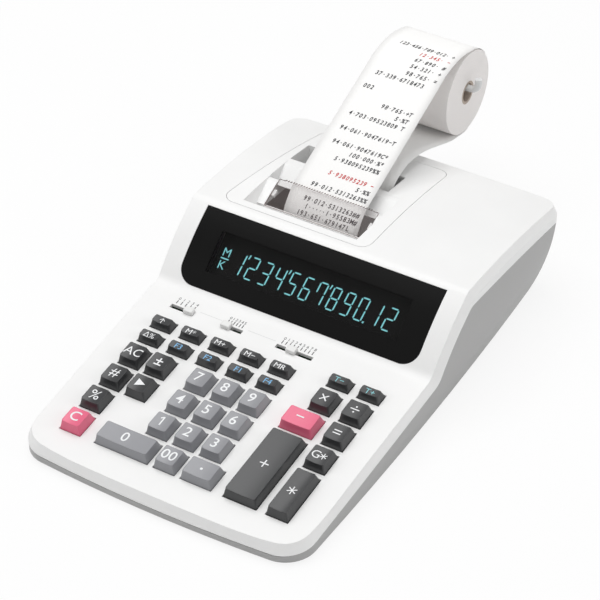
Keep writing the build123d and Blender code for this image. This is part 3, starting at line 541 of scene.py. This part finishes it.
# Switch markings printed on the panel: ticks, plain figures, a faint line along the row
grey_ink = printed("panel_print", (0.06, 0.06, 0.065))
faint_ink = printed("panel_line", (0.6, 0.6, 0.6))
TICK_LOW = 3.2
TICK_HIGH = 6.2
TICK_W = 0.6
TICK_INSET = 2.2
FIGURE_H = 2.3
FIGURE_GAP = 0.7
LINE_H = 0.25


def panel_box(points, faces, u0, u1, v0, v1):
    faces.append([len(points) + k for k in range(4)])
    for u, v in corners(u0, u1, v0, v1):
        points.append(panel.point(u, SWITCH_V + v, INK_LIFT))


# Each slot's left and right end and its number of ticks
ticks = {
    "switch_print": (-81.0, -62.9, 5),
    "switch_round": (-41.2, -25.8, 6),
    "switch_decimal": (0.0, 27.1, 9),
}
for name, (u0, u1, count) in ticks.items():
    points = []
    faces = []
    for i in range(count):
        u = u0 + TICK_INSET + (u1 - u0 - 2 * TICK_INSET) * i / (count - 1)
        panel_box(points, faces, u - TICK_W / 2, u + TICK_W / 2, TICK_LOW, TICK_HIGH)
        above = SWITCH_V + TICK_HIGH + FIGURE_GAP
        flat_text(name + "_%d" % i, str(i), panel, u, above, INK_LIFT, FIGURE_H, grey_ink)
    piece("ticks_" + name, points, faces, grey_ink, "housing")
points = []
faces = []
for u0, u1 in ((-60.0, -43.0), (-23.0, -2.0)):
    panel_box(points, faces, u0, u1, TICK_LOW, TICK_LOW + LINE_H)
piece("switch_line", points, faces, faint_ink, "housing")


# Paper route seen from the side: tail over the roll, tear edge, platen, inlet, under the roll
def on_circle(centre, r, turn):
    t = math.radians(turn)
    return centre[0] + r * math.cos(t), centre[1] + r * math.sin(t)


def around(centre, r, start, stop, count):
    return [on_circle(centre, r, start + (stop - start) * i / (count - 1)) for i in range(count)]


def straight(a, b, count):
    return [(a[0] + (b[0] - a[0]) * i / count, a[1] + (b[1] - a[1]) * i / count) for i in range(1, count)]


TAIL_TOP = (317.0, 122.4)
TAIL_LOW = (212.0, 75.8)
WEB_OFF = 0.55
END_OFF = 0.2
END_TURN = 40.0
END_POINTS = 6
STEP_TURN = 7.6
STEP_OFF = 0.18
route = []
for i in range(END_POINTS):
    route.append(on_circle(ROLL, ROLL_R + END_OFF + i * STEP_OFF, END_TURN + i * STEP_TURN))
route = route + [(345.0, 124.4), (334.0, 125.2), TAIL_TOP]
route = route + straight(TAIL_TOP, TAIL_LOW, 7) + [TAIL_LOW]
route = route + [(206.5, 71.6), (201.5, 66.0), (197.9, 60.0), (196.9, 52.0)]
route = route + around(PLATEN, PLATEN_R + WEB_OFF, 180, 292, 6)
route = route + [(221.0, 42.0), (232.0, 50.0), (238.8, 60.0), (243.3, 67.5), (249.5, 73.7), (258.0, 77.6)]
route = route + [(268.0, 79.0), (280.5, 78.0), (295.0, 74.3), (311.0, 68.6), (329.0, 62.4)]
route = route + around(ROLL, ROLL_R + WEB_OFF, 261, 275, 3)


def smooth_line(points, parts):
    line = []
    for i in range(len(points) - 1):
        p0 = Vector(points[max(i - 1, 0)])
        p1 = Vector(points[i])
        p2 = Vector(points[i + 1])
        p3 = Vector(points[min(i + 2, len(points) - 1)])
        scale = (p2 - p1).length
        t1 = (p2 - p0).normalized() * scale
        t2 = (p3 - p1).normalized() * scale
        for k in range(parts):
            t = k / parts
            h1 = 2 * t ** 3 - 3 * t ** 2 + 1
            h2 = t ** 3 - 2 * t ** 2 + t
            h3 = -2 * t ** 3 + 3 * t ** 2
            h4 = t ** 3 - t ** 2
            line.append(p1 * h1 + t1 * h2 + p2 * h3 + t2 * h4)
    return line + [Vector(points[-1])]


web = smooth_line(route, 10)
lengths = [0.0]
for a, b in zip(web, web[1:]):
    lengths.append(lengths[-1] + (b - a).length)


def web_point(x, s, lift):
    i = 0
    while i < len(web) - 2 and lengths[i + 1] < s:
        i = i + 1
    t = (s - lengths[i]) / (lengths[i + 1] - lengths[i])
    p = web[i].lerp(web[i + 1], t)
    d = (web[i + 1] - web[i]).normalized()
    return spot(x, p.x + d.y * lift, p.y - d.x * lift)


# Paper strip: over and under side, long edges and ends
ACROSS = 8
paper_white = paper("paper_white", (0.93, 0.925, 0.915))
points = []
for side in (1, -1):
    for s in lengths:
        for j in range(ACROSS + 1):
            x = PAPER_X - PAPER_W / 2 + PAPER_W * j / ACROSS
            points.append(web_point(x, s, -side * PAPER_T / 2))
rows = len(lengths)
half = rows * (ACROSS + 1)
faces = []
for i in range(rows - 1):
    for j in range(ACROSS):
        a = i * (ACROSS + 1) + j
        b = a + ACROSS + 1
        faces.append((a, a + 1, b + 1, b))
        faces.append((half + a, half + b, half + b + 1, half + a + 1))
    for j, flip in ((0, False), (ACROSS, True)):
        a = i * (ACROSS + 1) + j
        b = a + ACROSS + 1
        faces.append((a, half + a, half + b, b) if flip else (a, b, half + b, half + a))
for i, flip in ((0, True), (rows - 1, False)):
    for j in range(ACROSS):
        a = i * (ACROSS + 1) + j
        faces.append((a, half + a, half + a + 1, a + 1) if flip else (a, a + 1, half + a + 1, half + a))
strip = piece("paper_strip", points, faces, paper_white, "housing", True)
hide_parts("paper_web")

# Printed lines: place along the paper from the tear edge, right end, text, whether red
CHAR_PITCH = 2.7
LINE_MAX = 43.2
PRINT_H = 3.3
PRINT_W = 0.82 * PRINT_H
PRINT_SLANT = 0.2
PRINT_BOLD = 0.02
PRINT_LIFT = 0.12
tear_s = lengths[min(range(rows), key=lambda i: (web[i] - Vector(TAIL_LOW)).length)]
black_print = printed("print_black", (0.03, 0.03, 0.035), 0.6)
red_print = printed("print_red", (0.6, 0.05, 0.05), 0.6)
printed_lines = [
    (131.0, 0.0, "123·456·789·012· +", False),
    (124.4, 0.0, "12·345· −", True),
    (117.8, 0.0, "67·890· #", False),
    (111.4, 0.0, "54·321· +", False),
    (105.0, 0.0, "98·765· =", False),
    (98.7, -7.0, "37·339·6718473", False),
    (86.2, -39.5, "002", False),
    (74.6, -3.0, "98·765·+T", False),
    (68.5, -3.0, "5·%T", False),
    (62.4, -3.0, "4·703·09523809 T", False),
    (49.6, -3.0, "94·061·9047619−T", False),
    (37.7, -2.4, "94·061·9047619C*", False),
    (31.5, -2.4, "100·000·%*", False),
    (25.2, -2.4, "5·938095239%%", False),
    (13.7, -0.5, "5·938095239 −", True),
    (7.6, -0.5, "5·%%", False),
    (1.6, 0.7, "99·012·5313263%%", False),
    (-9.5, 0.6, "99·012·5313263##", False),
    (-14.6, 0.6, "1·····1·95583M#", False),
    (-19.8, -3.8, "193·651·679147L", False),
]
for row, (at, right, text, red) in enumerate(printed_lines):
    line_points = []
    line_faces = []
    pitch = min(CHAR_PITCH, LINE_MAX / len(text))
    for i, char in enumerate(reversed(text)):
        if char == " ":
            continue
        outline, tris = letters(char, shear=PRINT_SLANT, bold=PRINT_BOLD)
        cx = middle(outline)[0]
        first = len(line_points)
        for x, y in outline:
            px = right - (i + 0.5) * pitch + (x - cx) * PRINT_W
            line_points.append(web_point(px, tear_s - at - y * PRINT_H, PAPER_T / 2 + PRINT_LIFT))
        line_faces = line_faces + [[first + k for k in tri] for tri in tris]
    piece("print_line_%02d" % row, line_points, line_faces, red_print if red else black_print, "housing")


# Paper roll: wound sides, smooth outside, cardboard core
def lathe(name, profile, mat, body, count=160):
    points = []
    faces = []
    for k in range(count):
        turn = 2 * math.pi * k / count
        for x, r in profile:
            points.append(spot(x, ROLL[0] + r * math.cos(turn), ROLL[1] + r * math.sin(turn)))
    size = len(profile)
    for k in range(count):
        for i in range(size):
            a = k * size + i
            b = k * size + (i + 1) % size
            c = ((k + 1) % count) * size
            faces.append((a, b, c + (i + 1) % size, c + i))
    return piece(name, points, faces, mat, body)


roll_left = PAPER_X - PAPER_W / 2
roll_right = PAPER_X + PAPER_W / 2
EDGE = 0.25
roll_profile = [
    (roll_left, CORE_R),
    (roll_left, ROLL_R - EDGE),
    (roll_left + EDGE, ROLL_R),
    (roll_right - EDGE, ROLL_R),
    (roll_right, ROLL_R - EDGE),
    (roll_right, CORE_R),
]
roll = lathe("roll_paper", roll_profile, wound("paper_wound", (0.93, 0.9, 0.885), 0.35), "roll")
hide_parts("paper_roll")
core_profile = [
    (roll_left, CORE_BORE_R),
    (roll_left, CORE_R),
    (roll_right, CORE_R),
    (roll_right, CORE_BORE_R),
]
core = lathe("roll_core", core_profile, wound("core_card", (0.5, 0.42, 0.36), 0.6), "roll")

# Floor, light and camera
CAMERA_AT = (617.752, -880.122, 954.855)
CAMERA_DIR = (-0.41438, 0.67829, -0.60681)
LENS = 139.02
SENSOR = 36.0
FLOOR = 6.0
FLOOR_GLOW = 0.86
WORLD_LIGHT = 0.44
AIM = (0, 0, 0.05)
scene = bpy.context.scene
floor_mat, floor_bsdf = shader("floor", (0.9, 0.9, 0.9), 0.9, 0.0)
glow_node = add(floor_mat, "ShaderNodeEmission", Color=(1, 1, 1, 1), Strength=1.0)
path = add(floor_mat, "ShaderNodeLightPath")
mix = add(floor_mat, "ShaderNodeMixShader")
direct = add(floor_mat, "ShaderNodeMath", operation="MAXIMUM")
wire(floor_mat, path.outputs["Is Camera Ray"], direct.inputs[0])
wire(floor_mat, path.outputs["Is Glossy Ray"], direct.inputs[1])
through = add(floor_mat, "ShaderNodeMath", operation="MAXIMUM")
wire(floor_mat, direct.outputs[0], through.inputs[0])
wire(floor_mat, path.outputs["Is Transmission Ray"], through.inputs[1])
seen = add(floor_mat, "ShaderNodeMath", operation="MULTIPLY")
seen.inputs[1].default_value = FLOOR_GLOW
wire(floor_mat, through.outputs[0], seen.inputs[0])
wire(floor_mat, seen.outputs[0], mix.inputs[0])
wire(floor_mat, floor_bsdf.outputs[0], mix.inputs[1])
wire(floor_mat, glow_node.outputs[0], mix.inputs[2])
wire(floor_mat, mix.outputs[0], floor_mat.node_tree.nodes["Material Output"].inputs["Surface"])
floor_mesh = bpy.data.meshes.new("floor")
floor_points = [(x, y, 0) for x, y in corners(-FLOOR, FLOOR, -FLOOR, FLOOR)]
floor_mesh.from_pydata(floor_points, [], [(0, 1, 2, 3)])
floor_mesh.materials.append(floor_mat)
floor = bpy.data.objects.new("floor", floor_mesh)
scene.collection.objects.link(floor)

world = bpy.data.worlds.new("studio")
scene.world = world
world.use_nodes = True
world.node_tree.nodes["Background"].inputs[0].default_value = (1, 1, 1, 1)
world.node_tree.nodes["Background"].inputs[1].default_value = WORLD_LIGHT


def softbox(name, at, size, power):
    light = bpy.data.lights.new(name, "AREA")
    light.energy = power
    light.size = size
    obj = bpy.data.objects.new(name, light)
    obj.location = at
    obj.rotation_euler = (Vector(AIM) - Vector(at)).to_track_quat("-Z", "Y").to_euler()
    scene.collection.objects.link(obj)


softbox("overhead", (-0.28, 0.05, 1.6), 1.4, 17.5)
softbox("front_left", (-1.3, -1.3, 1.0), 0.9, 2.8)
softbox("right", (1.6, 0.2, 0.9), 0.9, 4.6)

cam_data = bpy.data.cameras.new("camera")
cam_data.lens = LENS
cam_data.sensor_width = SENSOR
cam_data.clip_end = 20
camera = bpy.data.objects.new("camera", cam_data)
camera.location = spot(*CAMERA_AT)
camera.rotation_euler = Vector(CAMERA_DIR).to_track_quat("-Z", "Y").to_euler()
scene.collection.objects.link(camera)
scene.camera = camera
scene.view_settings.view_transform = "Standard"
